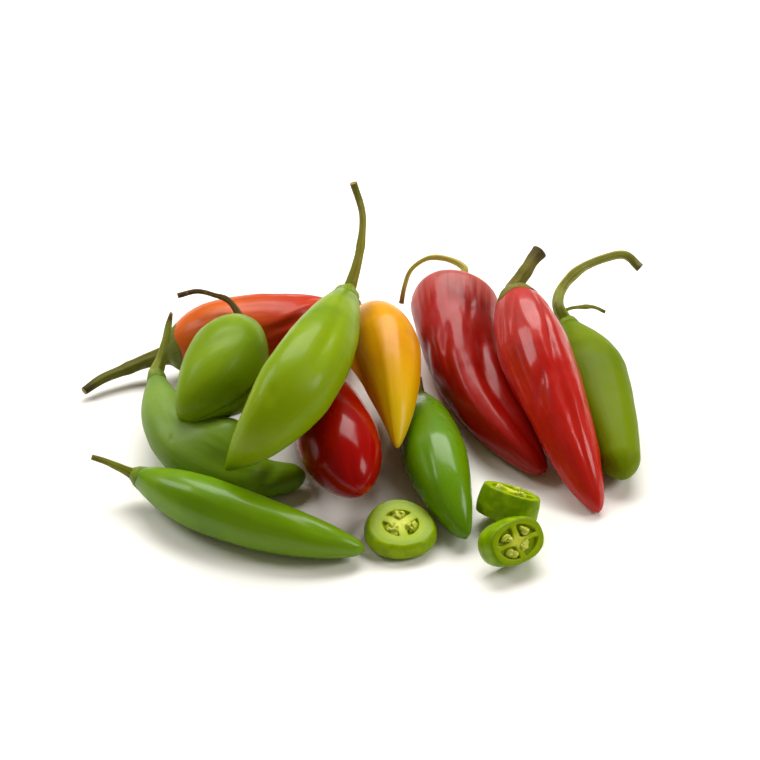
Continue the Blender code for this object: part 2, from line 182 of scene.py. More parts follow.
class Line:
    """Points with a distance from the crown, a forward and a sideways direction."""

    def __init__(self, stalk, fruit, side):
        self.points = stalk[:0:-1] + fruit
        self.crown = crown = len(stalk) - 1
        last = len(self.points) - 1
        self.distance = [0.0] * (last + 1)
        self.forward = [None] * (last + 1)
        self.side = [None] * (last + 1)
        for i in range(last + 1):
            ahead = self.points[min(i + 1, last)]
            behind = self.points[i if i == crown else max(i - 1, 0)]
            self.forward[i] = (ahead - behind).normalized()
        self.side[crown] = self.square(side, crown)
        for way, numbers in ((1, range(crown, last)), (-1, range(crown, 0, -1))):
            for i in numbers:
                step = (self.points[i + way] - self.points[i]).length
                self.distance[i + way] = self.distance[i] + way * step
                self.side[i + way] = self.square(self.side[i], i + way)
        self.stalk_end = self.distance[0]
        self.tip = self.distance[-1]

    def square(self, side, i):
        """What is left of a direction when it's made square to the line at a point."""
        return (side - side.dot(self.forward[i]) * self.forward[i]).normalized()

    def at(self, along):
        """Centre, forward and sideways direction at a distance from the crown."""
        if -ROOT < along <= 0:
            forward = self.forward[self.crown]
            return self.points[self.crown] + along * forward, forward, self.side[self.crown]
        i = int(np.searchsorted(self.distance, along)) - 1
        i = min(max(i, 0), len(self.points) - 2)
        share = (along - self.distance[i]) / (self.distance[i + 1] - self.distance[i])
        blend = min(max(share, 0.0), 1.0)
        forward = self.forward[i].lerp(self.forward[i + 1], blend).normalized()
        side = self.side[i].lerp(self.side[i + 1], blend)
        up = forward.cross(side).normalized()
        return self.points[i].lerp(self.points[i + 1], share), forward, up.cross(forward)

# %% The line of each chilli
def chilli_line(row):
    """The line of one chilli, in the frame's own place, in mm."""
    turn = Euler((0, math.radians(row.dip), math.radians(row.heading))).to_matrix()
    crown = Vector(row.crown) - HEAP_MIDDLE
    fruit = [crown + turn @ point for point in
             bent(Vector(), Vector(row.pull), Vector((row.length, 0, 0)), LINE_STEPS)]
    root = crown - ROOT * (fruit[1] - crown).normalized()
    stops = [crown, root] + [crown + Vector(step) for step in row.stalk]
    return Line(through(stops, LINE_STEPS // len(stops)), fruit, turn @ Vector((0, 1, 0)))


lines = {row.name: chilli_line(row) for row in CHILLIES}
print("fruit lengths along the line:", {n: round(line.tip) for n, line in lines.items()})

# %% [markdown]
# ## Writing node trees as sums
#
# Geometry Nodes will hang the skin on the line. A tree with thirty Math nodes is hard to read
# when each takes four lines of Python. A small class helps: a Wire stands for one value in
# the tree, and adding or multiplying two wires adds the Math node and its links.

# %% A wire is a value in a node tree
def feed(socket, value):
    """Joins a wire to a socket, or sets a plain value on it."""
    if isinstance(value, Wire):
        value.tree.links.new(value.socket, socket)
    else:
        socket.default_value = value


def add(tree, kind, inputs=None, **settings):
    """Adds one node, with its settings, and its inputs by name or number."""
    node = tree.nodes.new(kind)
    for name, value in settings.items():
        setattr(node, name, value)
    for key, value in (inputs or {}).items():
        feed(node.inputs[key], value)
    return node


def out(tree, node, key=0):
    """One output of a node, as a wire."""
    return Wire(tree, node.outputs[key])


class Wire:
    """One value in a tree. Sums with it add nodes to that tree."""

    def __init__(self, tree, socket):
        self.tree = tree
        self.socket = socket

    def worked(self, kind, operation, inputs):
        """The answer of a new sum node."""
        return out(self.tree, add(self.tree, kind, inputs, operation=operation))

    def maths(self, operation, *others):
        return self.worked("ShaderNodeMath", operation, dict(enumerate((self, *others))))

    def vector(self, operation, *others):
        return self.worked("ShaderNodeVectorMath", operation, dict(enumerate((self, *others))))

    def times(self, amount):
        """A vector made longer or shorter."""
        return self.worked("ShaderNodeVectorMath", "SCALE", {0: self, "Scale": amount})

    def __add__(self, other):
        return self.maths("ADD", other)

    def __sub__(self, other):
        return self.maths("SUBTRACT", other)

    def __mul__(self, other):
        return self.maths("MULTIPLY", other)

    def __truediv__(self, other):
        return self.maths("DIVIDE", other)

# %% An empty node group
def new_group(name, kind, inputs, outputs):
    """An empty node group with named sockets, and its inputs as wires."""
    tree = bpy.data.node_groups.new(name, kind)
    for in_out, sockets in (("INPUT", inputs), ("OUTPUT", outputs)):
        for socket_name, socket_kind, *start in sockets:
            socket = tree.interface.new_socket(
                name=socket_name, in_out=in_out, socket_type=f"NodeSocket{socket_kind}")
            if start:
                socket.default_value = start[0]
    entry = tree.nodes.new("NodeGroupInput")
    leave = tree.nodes.new("NodeGroupOutput")
    return tree, {socket.name: Wire(tree, socket) for socket in entry.outputs}, leave

# %% [markdown]
# ## The skin tree
#
# The skin of a fruit, and just as well that of a stalk, is a sheet rolled round the line. The
# tree takes a string of points, one for each ring, which carry that ring's directions and
# radius. It rolls a flat grid round them, adds ridges, ribs, lumps and wrinkles, and welds
# the seam. A Curve to Mesh node would be shorter, but it can't lift teeth along a rim.

# %% Read the rings, and make noise round them
LUMP_NOISE = (90.0, 0.9, 1.0)  # broad lumps: cells per metre along, cells round, detail
FOLD_NOISE = (55.0, 5.5, 3.0)  # lengthwise wrinkles: many round the line, long along it
FOLD_SEED = 7.0                # keeps the wrinkles apart from the lumps
WELD = 1e-6                    # points nearer than this become one, in metres


def read_ring(tree, rings, number, name, kind):
    """What the ring with that number carries under a name."""
    named = add(tree, "GeometryNodeInputNamedAttribute", {"Name": name}, data_type=kind)
    sample = add(tree, "GeometryNodeSampleIndex",
                 {"Geometry": rings, "Value": out(tree, named, "Attribute"), "Index": number},
                 data_type=kind, domain="POINT")
    return out(tree, sample, "Value")


def skin_noise(tree, around, along, seed, cells_along, cells_round, detail):
    """Noise from -1 to 1 that closes on itself round the line."""
    place = add(tree, "ShaderNodeCombineXYZ", {
        "X": around.maths("COSINE") * cells_round, "Y": around.maths("SINE") * cells_round,
        "Z": along * cells_along})
    uneven = add(tree, "ShaderNodeTexNoise", {
        "Vector": out(tree, place), "W": seed, "Scale": 1.0, "Detail": detail,
        "Roughness": 0.5}, noise_dimensions="4D")
    return out(tree, uneven) * 2.0 - 1.0


def hand_on(tree, leave, geometry, material):
    """Makes instances real, gives the mesh its material and ends the tree."""
    plain = add(tree, "GeometryNodeRealizeInstances", {"Geometry": geometry})
    dressed = add(tree, "GeometryNodeSetMaterial",
                  {"Geometry": out(tree, plain), "Material": material})
    feed(leave.inputs["Geometry"], out(tree, dressed))

# %% Roll a grid round the line
def make_skin_tree():
    tree, given, leave = new_group("Skin round a line", "GeometryNodeTree", [
        ("Rings", "Geometry"), ("Sides", "Int", 96), ("Ridges", "Float", 3.0),
        ("Ridge Turn", "Float", 0.0), ("Ribs", "Float", 5.0), ("Teeth", "Float", 5.0),
        ("Tooth Length", "Float", 0.001), ("Lumps", "Float", 0.0003),
        ("Wrinkles", "Float", 0.0001), ("Seed", "Float", 1.0), ("Material", "Material"),
    ], [("Geometry", "Geometry")])
    rings = given["Rings"]
    count = out(tree, add(tree, "GeometryNodeAttributeDomainSize", {"Geometry": rings},
                          component="MESH"), "Point Count")
    grid = add(tree, "GeometryNodeMeshGrid", {
        "Size X": 1.0, "Size Y": 1.0, "Vertices X": given["Sides"] + 1.0, "Vertices Y": count})
    place = add(tree, "ShaderNodeSeparateXYZ",
                {0: out(tree, add(tree, "GeometryNodeInputPosition"))})
    turn = out(tree, place, "X") + 0.5
    around = turn * (2 * math.pi)
    number = ((out(tree, place, "Y") + 0.5) * (count - 1.0)).maths("ROUND")

    def ring(name, kind="FLOAT"):
        return read_ring(tree, rings, number, name, kind)

    reach = ring("reach")
    along = ring("along")
    ridge = (around - given["Ridge Turn"]) * given["Ridges"]
    radius = ring("radius") * (ring("ridge") * ridge.maths("COSINE") + 1.0)
    rib = (around * given["Ribs"]).maths("COSINE")
    radius = radius * (ring("rib") * rib + 1.0)
    lump = skin_noise(tree, around, along, given["Seed"], *LUMP_NOISE)
    fold = skin_noise(tree, around, along, given["Seed"] + FOLD_SEED, *FOLD_NOISE)
    soft = ring("soft")
    radius = radius + lump * given["Lumps"] * soft + fold * given["Wrinkles"] * soft
    tooth = (around * given["Teeth"]).maths("COSINE") * given["Tooth Length"] * ring("tooth")
    radius = radius + tooth * ring("slope")
    side = ring("side", "FLOAT_VECTOR").times(around.maths("COSINE") * radius)
    up = ring("up", "FLOAT_VECTOR").times(around.maths("SINE") * radius)
    ahead = ring("forward", "FLOAT_VECTOR").times(tooth)
    centre = read_ring(tree, rings, number, "centre", "FLOAT_VECTOR")
    point = centre.vector("ADD", side).vector("ADD", up).vector("ADD", ahead)

    pattern = out(tree, add(tree, "ShaderNodeCombineXYZ", {"X": turn, "Y": reach}))
    sheet = out(tree, grid, "Mesh")
    for name, kind, domain, value in (("UVMap", "FLOAT2", "CORNER", pattern),
                                      ("around", "FLOAT", "POINT", around),
                                      ("along", "FLOAT", "POINT", along)):
        sheet = out(tree, add(tree, "GeometryNodeStoreNamedAttribute",
                              {"Geometry": sheet, "Name": name, "Value": value},
                              data_type=kind, domain=domain))
    rolled = add(tree, "GeometryNodeSetPosition", {"Geometry": sheet, "Position": point})
    welded = add(tree, "GeometryNodeMergeByDistance",
                 {"Geometry": out(tree, rolled), "Distance": WELD})
    smooth = add(tree, "GeometryNodeSetShadeSmooth", {"Geometry": out(tree, welded)})
    hand_on(tree, leave, out(tree, smooth), given["Material"])
    return tree


skin_tree = make_skin_tree()
print("skin tree:", len(skin_tree.nodes), "nodes")

# %% A string of rings
@dataclass
class Ring:
    """One ring. Lengths are in mm; the rest are strengths from 0 to 1."""
    along: float               # distance from the crown
    radius: float
    reach: float               # 0 at one end of the pattern on the skin and 1 at the other
    ridge: float = 0.0
    rib: float = 0.0
    tooth: float = 0.0
    slope: float = 0.0         # how fast the radius grows along the line, for the teeth
    soft: float = 0.0          # how much of the lumps and wrinkles shows


def string_of_rings(name, line, rings):
    """A mesh of loose points that carry what the skin tree reads."""
    centres, forwards, sides = zip(*(line.at(ring.along) for ring in rings))
    mesh = bpy.data.meshes.new(name)
    mesh.from_pydata([centre * MM for centre in centres], [], [])
    vectors = {"centre": [centre * MM for centre in centres], "forward": forwards,
               "side": sides, "up": [f.cross(s) for f, s in zip(forwards, sides)]}
    numbers = {"along": [ring.along * MM for ring in rings],
               "radius": [ring.radius * MM for ring in rings]}
    for key in ("reach", "ridge", "rib", "tooth", "slope", "soft"):
        numbers[key] = [getattr(ring, key) for ring in rings]
    for kind, field, table in (("FLOAT_VECTOR", "vector", vectors), ("FLOAT", "value", numbers)):
        for key, values in table.items():
            layer = mesh.attributes.new(key, kind, "POINT")
            layer.data.foreach_set(field, np.array(values, np.float32).ravel())
    return mesh

# %% Grow a mesh on the rings
def put_in_scene(name, data):
    """An object at the origin, neither turned nor scaled."""
    thing = bpy.data.objects.new(name, data)
    bpy.context.scene.collection.objects.link(thing)
    return thing


def apply_modifiers(piece):
    """Turns what a piece's modifiers make of it into its plain mesh."""
    graph = bpy.context.evaluated_depsgraph_get()
    mesh = bpy.data.meshes.new_from_object(
        piece.evaluated_get(graph), preserve_all_data_layers=True, depsgraph=graph)
    piece.modifiers.clear()
    start, piece.data = piece.data, mesh
    bpy.data.meshes.remove(start)
    mesh.name = piece.name


def grow(name, tree, start, values):
    """Runs a tree on a mesh, and keeps the result as a plain object."""
    piece = put_in_scene(name, start)
    modifier = piece.modifiers.new(tree.name, "NODES")
    modifier.node_group = tree
    for socket in tree.interface.items_tree:
        if socket.in_out == "INPUT" and socket.name in values:
            modifier[socket.identifier] = values[socket.name]
    apply_modifiers(piece)
    return piece


def volume(mesh):
    """Signed volume of a closed mesh: negative if it is inside out."""
    solid = bmesh.new()
    solid.from_mesh(mesh)
    amount = solid.calc_volume(signed=True)
    solid.free()
    return amount

# %% [markdown]
# ## The fruit
#
# Behind the crown the radius swells along a power of a parabola: a low power gives square
# shoulders. Past the belly it falls along a second curve with two powers, which can end in a
# thin nose or a thumb. The rings crowd together at both ends, where the skin turns most.

# %% The outline of a fruit
CROWN_SHARE = 0.3              # radius of the flat crown, as a share of the widest
TIP_DOME = 0.4                 # how far the tip rounds out, in tip radii
TIP_ROUND = 0.9                # where its rounding starts, in tip radii before the end
FRUIT_RINGS = 180
FRUIT_SIDES = 112
RIDGE_START, RIDGE_RISE = 0.7, 0.8     # powers that put the ridges where the fruit is full
SOFT_RISE = 0.6                # power that keeps lumps and wrinkles off both ends


def body_radius(row, share):
    """Radius of the fruit at a share of its length, before its ridges."""
    if share < row.belly:
        rise = 1 - (1 - share / row.belly) ** 2
        return row.radius * (CROWN_SHARE + (1 - CROWN_SHARE) * rise ** row.shoulder)
    power, bluntness = row.taper
    fall = (share - row.belly) / (1 - row.belly)
    fullness = (1 - fall ** power) ** bluntness
    return row.radius * (row.tip_share + (1 - row.tip_share) * fullness)


def ridge_strength(row, share):
    """How deep the ridges are at a share of the length, as a share of the radius."""
    return row.ridges[1] * math.sin(math.pi * share ** RIDGE_START) ** RIDGE_RISE


def fruit_rings(row, line):
    """From the middle of the crown to the tip. The tip ends in a low dome."""
    tip_radius = row.tip_share * row.radius
    total = line.tip + TIP_DOME * tip_radius
    round_from = line.tip - TIP_ROUND * tip_radius
    rings = [Ring(0, 0, 0)]
    for i in range(FRUIT_RINGS + 1):
        along = total * (1 - math.cos(math.pi * i / FRUIT_RINGS)) / 2
        share = min(along / line.tip, 1.0)
        run_out = max(along - round_from, 0) / (total - round_from)
        radius = body_radius(row, share) * math.sqrt(max(1 - run_out ** 2, 0))
        rings.append(Ring(along, radius, share, ridge=ridge_strength(row, share),
                          soft=max(math.sin(math.pi * share), 0) ** SOFT_RISE))
    return rings

# %% Dents, creases and swellings
# Each one: share of the length, angle round the line (0 at its sideways direction and 90 on
# top), half length and half width in mm, depth in mm (negative swells out), and how far it
# slants, in mm sideways per mm along. The largest swellings, on the hooked and the small fruit,
# are shape put where there is only deep shade: they fill the hollow under the small fruit, so
# that no white floor shows there.
MARKS = {
    "orange": [(0.52, 139, 7.9, 1.6, 0.9, -0.33), (0.62, 112, 7.5, 1.7, -0.7, -0.60),
               (0.54, 158, 5.7, 1.4, 0.7, -0.31), (0.72, 75, 7.5, 1.2, 0.4, -0.53)],
    "small": [(0.57, 90, 6.0, 3.0, 0.5, 0.80), (0.20, 70, 5.0, 4.0, 0.6, 0.0),
              # this swelling fills the deep-shaded hollow under the small fruit
              (0.62, 335, 13.0, 9.0, -4.5, 0.0)],
    "lime": [(0.42, 63, 17.0, 2.2, 0.5, -0.02), (0.70, 88, 2.0, 1.6, 0.6, -0.75),
             (0.78, 91, 8.6, 2.2, -0.3, -0.23), (0.58, 39, 13.5, 2.2, -0.3, -0.12)],
    "yellow": [(0.67, 112, 20.0, 1.8, -0.3, 0.08), (0.74, 180, 12.4, 2.0, 0.6, 0.02),
               (0.72, 192, 14.7, 3.0, -1.0, -0.04), (0.62, 65, 16.0, 2.5, 0.3, 0.01)],
    "scarlet": [(0.93, 100, 7.6, 1.6, 0.3, 0.38), (0.80, 150, 6.0, 3.0, 0.4, 0.0)],
    "hooked": [(0.47, 125, 0.9, 0.6, 0.5, 0.97), (0.84, 130, 4.0, 4.0, 1.2, -0.81),
               # these two swellings fill the deep-shaded hollow under the small fruit
               (0.43, 12, 10.0, 8.0, -4.5, 0.0), (0.62, 25, 12.0, 9.0, -9.5, 0.0),
               (0.67, 112, 8.4, 2.5, 0.5, 0.10)],
    "front": [(0.49, 147, 19.7, 2.2, 0.3, 0.03), (0.80, 107, 5.4, 2.2, 0.4, 0.17)],
    "middle": [(0.64, 121, 18.4, 2.4, 0.4, 0.19), (0.79, 58, 7.8, 2.4, -0.3, -0.04)],
    "crimson": [(0.54, 68, 16.9, 3.6, 1.9, 0.21), (0.77, 73, 16.2, 3.2, 1.5, -0.05),
                (0.52, 113, 18.7, 2.6, -0.8, 0.25), (0.82, 128, 17.5, 2.6, -0.8, 0.0),
                (0.47, 127, 11.2, 1.8, 0.8, 0.31), (0.44, 147, 10.0, 1.5, 0.6, 0.19),
                (0.30, 70, 6.2, 1.3, 0.5, 0.19), (0.40, 170, 5.0, 5.0, 1.0, 0.79),
                (0.19, 166, 8.7, 4.5, -1.0, -0.22), (0.72, 178, 9.0, 4.0, -0.9, 0.0),
                (0.72, 18, 24.0, 5.0, -2.0, 0.0)],
    "ruby": [(0.33, 79, 16.6, 1.5, 0.9, 0.13), (0.62, 90, 16.0, 1.8, 1.1, 0.03),
             (0.53, 172, 18.3, 2.0, -0.7, 0.0), (0.79, 185, 11.1, 1.8, -0.5, 0.19),
             (0.53, 125, 7.7, 2.4, 0.9, 0.40), (0.66, 110, 9.4, 1.5, 0.4, 0.18),
             (0.22, 159, 8.9, 1.2, 0.4, 0.30), (0.23, 130, 10.0, 1.0, 0.35, 0.39),
             (0.54, 199, 17.2, 4.0, 1.0, 0.01)],
    "spring": [(0.64, 85, 26.8, 2.8, 0.4, 0.07)],
}

# %% Press the marks in
def press(piece, row, line):
    """Presses the marks of a fruit into its mesh, along the mesh's own normals."""
    mesh = piece.data
    count = len(mesh.vertices)
    values = {}
    for key in ("along", "around"):
        values[key] = np.empty(count)
        mesh.attributes[key].data.foreach_get("value", values[key])
    points = np.empty(count * 3)
    mesh.vertices.foreach_get("co", points)
    points = points.reshape(-1, 3)
    normals = np.array([vertex.normal for vertex in mesh.vertices])
    sink = np.zeros(count)
    for share, angle, half_length, half_width, depth, slant in MARKS[row.name]:
        along = values["along"] / MM - share * line.tip
        turn = (values["around"] - math.radians(angle) + math.pi) % (2 * math.pi) - math.pi
        across = turn * body_radius(row, share) - slant * along
        sink += depth * np.exp(-(along / half_length) ** 2 - (across / half_width) ** 2)
    points -= normals * sink[:, None] * MM
    mesh.vertices.foreach_set("co", points.ravel())
    mesh.update()

# %% How a fruit is made
def make_fruit(row, material):
    line = lines[row.name]
    piece = grow(f"{row.name}_body", skin_tree,
                 string_of_rings(row.name, line, fruit_rings(row, line)), {
                     "Sides": FRUIT_SIDES, "Ridges": float(row.ridges[0]),
                     "Ridge Turn": math.radians(row.ridges[2]), "Lumps": row.lumps * MM,
                     "Wrinkles": row.wrinkles * MM, "Seed": float(CHILLIES.index(row)),
                     "Material": material})
    press(piece, row, line)
    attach(piece, "root")
    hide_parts(f"{row.name}_fruit")
    return piece

# %% [markdown]
# ## The stalk and its calyx
#
# The stalk and the calyx are one growth, so they are one mesh. The string of rings starts in
# the middle of the cut end, runs along the ribbed stalk, flares over the shoulders of the
# fruit, turns round the rim and comes back inside. The flare is not drawn: the outline turns
# a sharp corner where the stalk meets the cap, and a few rounds of averaging soften it as a
# grower would expect. The teeth of the calyx lift the last rings of the rim to and fro.

# %% The outline of a stalk and calyx
CAP_GAP = 0.04                 # the calyx hugs the fruit, mm
CAP_THICK = 0.50               # at the neck
RIM_THICK = 0.05
CAP_STEPS = 14
STALK_STEP = 0.5               # room between one ring and the next, mm
SOFTENING = 10                 # rounds of averaging
NECK_POWER = 3                 # how sharply the stalk widens towards the calyx
FLARE_POWER = 6                # and towards its cut end
STALK_SIDES = 60
STEM_STEPS = 60
STALK_JOINT = (0.56, 0.035, 0.22)      # a joint: where, how long, and how much it swells
RIB_DEPTH = 0.07               # as a share of the radius
RIB_START = 8                  # the ribs rise to full depth over one eighth of the pattern
TOOTH = 0.5                    # how far the teeth lift the rim to and fro, mm
STALK_LUMPS, STALK_WRINKLES = 0.12, 0.05       # mm
STALK_SEED = 40.0              # keeps the stalks' lumps apart from the fruits'
CUT_END = ((0.40, 0.0), (0.34, 0.5), (0.15, 0.80), (0.0, 0.93))   # a shallow dish


def shoulders(row, line):
    """The outline of the fruit from its crown to the rim of the calyx."""
    shares = [row.cap_share * i / CAP_STEPS for i in range(CAP_STEPS + 1)]
    return [(share * line.tip, body_radius(row, share)) for share in shares]


def pushed_out(outline, rooms):
    """The same outline, each point moved outwards by its own room."""
    points = [Vector((outline[0][0], 0))] + [Vector(point) for point in outline]
    runs = [(b - a).normalized() for a, b in zip(points, points[1:])]
    moved = []
    for point, before, after, room in zip(points[1:], runs, runs[1:] + runs[-1:], rooms):
        aside = Vector((-before.y - after.y, before.x + after.x))
        moved.append(point + room * aside / (1 + before.dot(after)))
    return moved


def spaced(points, step):
    """Points at even steps along a line of points."""
    gone = np.cumsum([0] + [(b - a).length for a, b in zip(points, points[1:])])
    wanted = np.linspace(0, gone[-1], max(int(gone[-1] / step), 8))
    x, y = (np.interp(wanted, gone, [point[axis] for point in points]) for axis in (0, 1))
    return [Vector(pair) for pair in zip(x, y)]


def softened(points):
    """The same points, with their corners averaged away."""
    for _ in range(SOFTENING):
        inner = [(a + 2 * b + c) / 4 for a, b, c in zip(points, points[1:], points[2:])]
        points = [points[0], *inner, points[-1]]
    return points


def joint_swell(joint, share):
    """How much thicker a stalk is near its joint."""
    where, length, swell = joint
    return swell * math.exp(-((share - where) / length) ** 2)

# %% The rings of a stalk and calyx
def stem_outline(row, line):
    """From the cut end to the straight stretch behind the crown."""
    neck, middle, end = row.stalk_radii
    start = line.stalk_end
    stem = []
    for i in range(STEM_STEPS + 1):
        share = i / STEM_STEPS
        radius = middle + (neck - middle) * share ** NECK_POWER
        radius += (end - middle) * (1 - share) ** FLARE_POWER
        radius *= 1 + joint_swell(STALK_JOINT, share)
        stem.append(Vector((start + share * (-ROOT - start), radius)))
    return stem


def stalk_rings(row, line):
    """From the cut end over the calyx, round its rim and back to the crown inside."""
    skin = shoulders(row, line)
    thick = [CAP_THICK + (RIM_THICK - CAP_THICK) * i / CAP_STEPS for i in range(CAP_STEPS + 1)]
    cap = pushed_out(skin, [CAP_GAP + wall for wall in thick])
    outside = softened(spaced(stem_outline(row, line) + cap, STALK_STEP))
    inside = pushed_out(skin, [CAP_GAP] * (CAP_STEPS + 1))[::-1]
    rim = (outside[-1] + inside[0]) / 2 + Vector((RIM_THICK / 3, 0))
    slope = (skin[-1][1] - skin[-2][1]) / (skin[-1][0] - skin[-2][0])
    cut = row.stalk_radii[-1]
    rings = [Ring(line.stalk_end + dish, share * cut, 0) for dish, share in CUT_END]
    for number, (along, radius) in enumerate([*outside, rim, *inside]):
        reach = min(number / len(outside), 1.0)
        on_cap = min(max(along / (row.cap_share * line.tip), 0.0), 1.0)
        share = min(max(along / line.tip, 0.0), 1.0)
        shows = number <= len(outside)
        rib = RIB_DEPTH * (1 - on_cap) ** 2 * min(1, RIB_START * reach)
        rings.append(Ring(along, radius, reach, ridge=ridge_strength(row, share),
                          rib=rib * shows, tooth=on_cap ** 3, slope=slope,
                          soft=(1 - on_cap) * shows))
    rings.append(Ring(-CAP_GAP, 0, 1))
    return rings

# %% How a stalk is made
def make_stalk(row, material):
    line = lines[row.name]
    piece = grow(f"{row.name}_calyx", skin_tree,
                 string_of_rings(row.name, line, stalk_rings(row, line)), {
                     "Sides": STALK_SIDES, "Ridges": float(row.ridges[0]),
                     "Ridge Turn": math.radians(row.ridges[2]), "Tooth Length": TOOTH * MM,
                     "Lumps": STALK_LUMPS * MM, "Wrinkles": STALK_WRINKLES * MM,
                     "Seed": STALK_SEED + CHILLIES.index(row), "Material": material})
    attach(piece, "root")
    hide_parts(f"{row.name}_stalk")
    return piece

# %% The thin second stalk, where a flower fell off
SIDE_STALK = 0.65              # radius, mm
SIDE_STALK_RINGS = 60
SIDE_STALK_JOINT = (0.55, 0.10, 0.5)
SIDE_STALK_RIBS = 0.05
SIDE_STALK_LUMPS = 0.1         # mm
SIDE_STALK_SEED = 60.0


def make_side_stalk(row, material):
    """It starts inside the stalk, so that the two look grown together."""
    stops = [Vector(row.crown) - HEAP_MIDDLE + Vector(step) for step in row.side_stalk]
    line = Line(stops[:1], through(stops, LINE_STEPS // len(stops)), Vector((0, 0, 1)))
    rings = [Ring(0, 0, 1)]
    for i in range(SIDE_STALK_RINGS + 1):
        share = i / SIDE_STALK_RINGS
        radius = SIDE_STALK * (1 + joint_swell(SIDE_STALK_JOINT, share))
        rings.append(Ring(share * line.tip, radius, 1 - share, rib=SIDE_STALK_RIBS,
                          soft=1.0))
    rings.append(Ring(line.tip, 0, 0))
    piece = grow(f"{row.name}_side_stalk", skin_tree, string_of_rings(row.name, line, rings), {
        "Sides": STALK_SIDES, "Lumps": SIDE_STALK_LUMPS * MM, "Wrinkles": STALK_WRINKLES * MM,
        "Seed": SIDE_STALK_SEED, "Material": material})
    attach(piece, "root")

# %% [markdown]
# ## Colours of living skin
#
# A fresh chilli is never one flat colour. Its green or red drifts in broad soft patches, runs
# in faint streaks from crown to tip, and often blushes towards one end as it ripens. A pale
# bloom of wax lies thickest near the crown, and the same pale colour there also paints in the
# sheen of light on the shoulders. All eleven skins share these effects, so they are shader
# groups that are built once. The Principled shader itself stays in each material.

# %% Colour helpers
# Noise stays near its middle, so these limits choose how much of it shows as patches.
EVEN, MOST, MANY = (0.3, 0.7), (0.35, 0.70), (0.40, 0.70)
SOME, FEW = (0.45, 0.75), (0.55, 0.75)


def colour(red, green, blue):
    """A colour from the usual 0 to 255 numbers, as linear light."""
    linear = [((c / 255 + 0.055) / 1.055) ** 2.4 if c > 10 else c / 255 / 12.92
              for c in (red, green, blue)]
    return (*linear, 1.0)


def blend(tree, amount, first, second):
    """Mixes two colours: none of the second at 0, all of it at 1. The node keeps sockets of
    the same name for other kinds of value, so its colours are found by number."""
    mix = add(tree, "ShaderNodeMix", {0: amount, 6: first, 7: second}, data_type="RGBA")
    return out(tree, mix, 2)


def ramp(tree, value, low, high, to_low=0.0, to_high=1.0):
    """Rises smoothly from one value to another between two limits."""
    node = add(tree, "ShaderNodeMapRange",
               {"Value": value, "From Min": low, "From Max": high,
                "To Min": to_low, "To Max": to_high}, interpolation_type="SMOOTHSTEP")
    return out(tree, node, "Result")


def noise(tree, place, scale, detail):
    """Soft patches from 0 to 1. The scale is in cells per metre when the place is in metres."""
    node = add(tree, "ShaderNodeTexNoise", {"Vector": place, "Scale": scale, "Detail": detail})
    return out(tree, node, "Fac")


def object_place(tree):
    return out(tree, add(tree, "ShaderNodeTexCoord"), "Object")


def along_and_around(tree, turns, length):
    """A place on the skin that closes on itself: round the line, then along it."""
    pattern = add(tree, "ShaderNodeSeparateXYZ",
                  {0: out(tree, add(tree, "ShaderNodeTexCoord"), "UV")})
    around = out(tree, pattern, "X") * (2 * math.pi)
    along = out(tree, pattern, "Y")
    place = out(tree, add(tree, "ShaderNodeCombineXYZ", {
        "X": around.maths("COSINE") * turns, "Y": around.maths("SINE") * turns,
        "Z": along * length}))
    return along, place

# %% Group: living skin
PATCH_SCALE = 55.0             # patches of colour about 18 mm across
WORN_SCALE = 160.0             # patches of duller wax about 6 mm across
STREAK_SCALE = 1.6
STREAK_SHADE = 0.35            # how much of the second colour a streak brings
PATCH_DRIFT = 0.35             # how far patches push the edge of a blush, in fruit lengths
STREAK_DRIFT = 0.25            # how far streaks push the edges of blush and bloom
BLOOM_MATT = 0.2               # how much rougher full bloom is


def make_living_skin():
    tree, given, leave = new_group("Living skin", "ShaderNodeTree", [
        ("Main", "Color"), ("Shade", "Color"), ("Blush", "Color"),
        ("Blush Start", "Float", 0.2), ("Blush End", "Float", 0.8),
        ("Bloom", "Color"), ("Bloom Amount", "Float", 0.0), ("Bloom Reach", "Float", 0.2),
        ("Gloss Low", "Float", 0.25), ("Gloss High", "Float", 0.4),
    ], [("Colour", "Color"), ("Roughness", "Float")])
    place = object_place(tree)
    along, rolled = along_and_around(tree, turns=5.0, length=2.2)
    patches = noise(tree, place, PATCH_SCALE, 3.0)
    streaks = noise(tree, rolled, STREAK_SCALE, 3.0)
    drift = (streaks - 0.5) * STREAK_DRIFT
    skin = blend(tree, ramp(tree, patches, *MOST), given["Main"], given["Shade"])
    skin = blend(tree, ramp(tree, streaks, *SOME) * STREAK_SHADE, skin, given["Shade"])
    ripening = along + (patches - 0.5) * PATCH_DRIFT + drift
    blush = ramp(tree, ripening, given["Blush Start"], given["Blush End"])
    skin = blend(tree, blush, skin, given["Blush"])
    # Pale towards the crown: partly a wax bloom, partly a painted sheen of light on the
    # shoulders.
    near_crown = (given["Bloom Reach"] - along - drift) / given["Bloom Reach"]
    bloom_and_sheen = ramp(tree, near_crown, 0.0, 0.8) * given["Bloom Amount"]
    worn = noise(tree, place, WORN_SCALE, 4.0)
    rough = ramp(tree, worn, *EVEN, given["Gloss Low"], given["Gloss High"])
    feed(leave.inputs["Colour"], blend(tree, bloom_and_sheen, skin, given["Bloom"]))
    feed(leave.inputs["Roughness"], rough + bloom_and_sheen * BLOOM_MATT)
    return tree

# %% Group: skin relief
WAVE_SCALE = 2.2
CRINKLE_SCALE = 420.0          # crinkles about 2 mm across
CRINKLE_REACH = 0.3            # they fade over this share of the fruit, from the crown
CRINKLE_LEFT = 0.25            # to this share of their height


